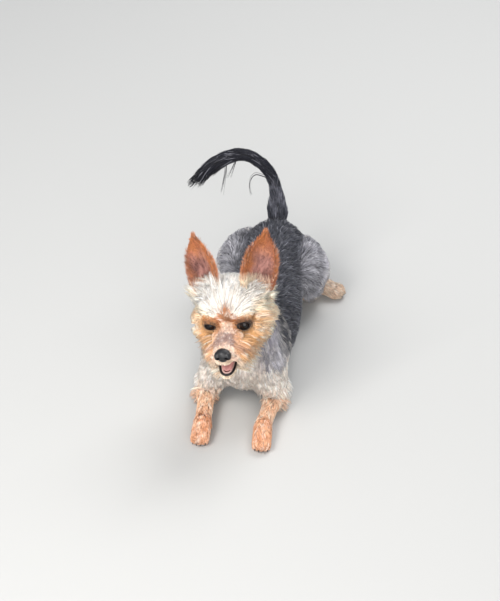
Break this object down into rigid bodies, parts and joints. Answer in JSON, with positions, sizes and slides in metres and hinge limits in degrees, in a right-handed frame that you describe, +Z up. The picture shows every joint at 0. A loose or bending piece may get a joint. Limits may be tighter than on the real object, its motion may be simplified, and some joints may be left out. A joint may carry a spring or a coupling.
{
  "type": "yorkshire terrier",
  "caption": "Life-size still yorkshire terrier lying propped on its elbows, head up, mouth a little open, ears erect and tail curled over to the right.",
  "frame": {"origin": "on the floor, in the flat under the ribs where the dog lies on its chest", "axes": "+Z up; +Y from the forepaws to the rump, so the dog faces -Y; +X to the dog's left"},
  "size_m": [0.1777, 0.3031, 0.2214],
  "materials": {
    "coat_back": "short dark steel coat, grizzled",
    "coat_silver": "silver blue coat",
    "coat_tail": "long blue black coat",
    "coat_face": "long golden tan coat, cream on the forehead",
    "coat_ear": "short rust coat, bare pinkish skin inside",
    "coat_cream": "cream coat",
    "coat_tan": "orange tan coat",
    "nose": "moist black nose leather",
    "eye": "wet, dark brown",
    "tongue": "moist pink"
  },
  "bodies": {
    "root": {"torso": "coat_back", "neck": "coat_silver", "thigh_left": "coat_silver", "thigh_right": "coat_silver", "tail_root": "coat_tail", "tail_middle": "coat_tail", "tail_plume": "coat_tail", "head": "coat_face", "jaw": "coat_face", "ear_left": "coat_ear", "ear_right": "coat_ear", "upper_arm_left": "coat_cream", "upper_arm_right": "coat_cream", "shank_left": "coat_cream", "shank_right": "coat_cream", "hindpaw_left": "coat_cream", "hindpaw_right": "coat_cream", "forearm_left": "coat_tan", "forearm_right": "coat_tan", "forepaw_left": "coat_tan", "forepaw_right": "coat_tan", "nose": "nose", "eye_left": "eye", "eye_right": "eye", "tongue": "tongue"}
  },
  "joints": []
}
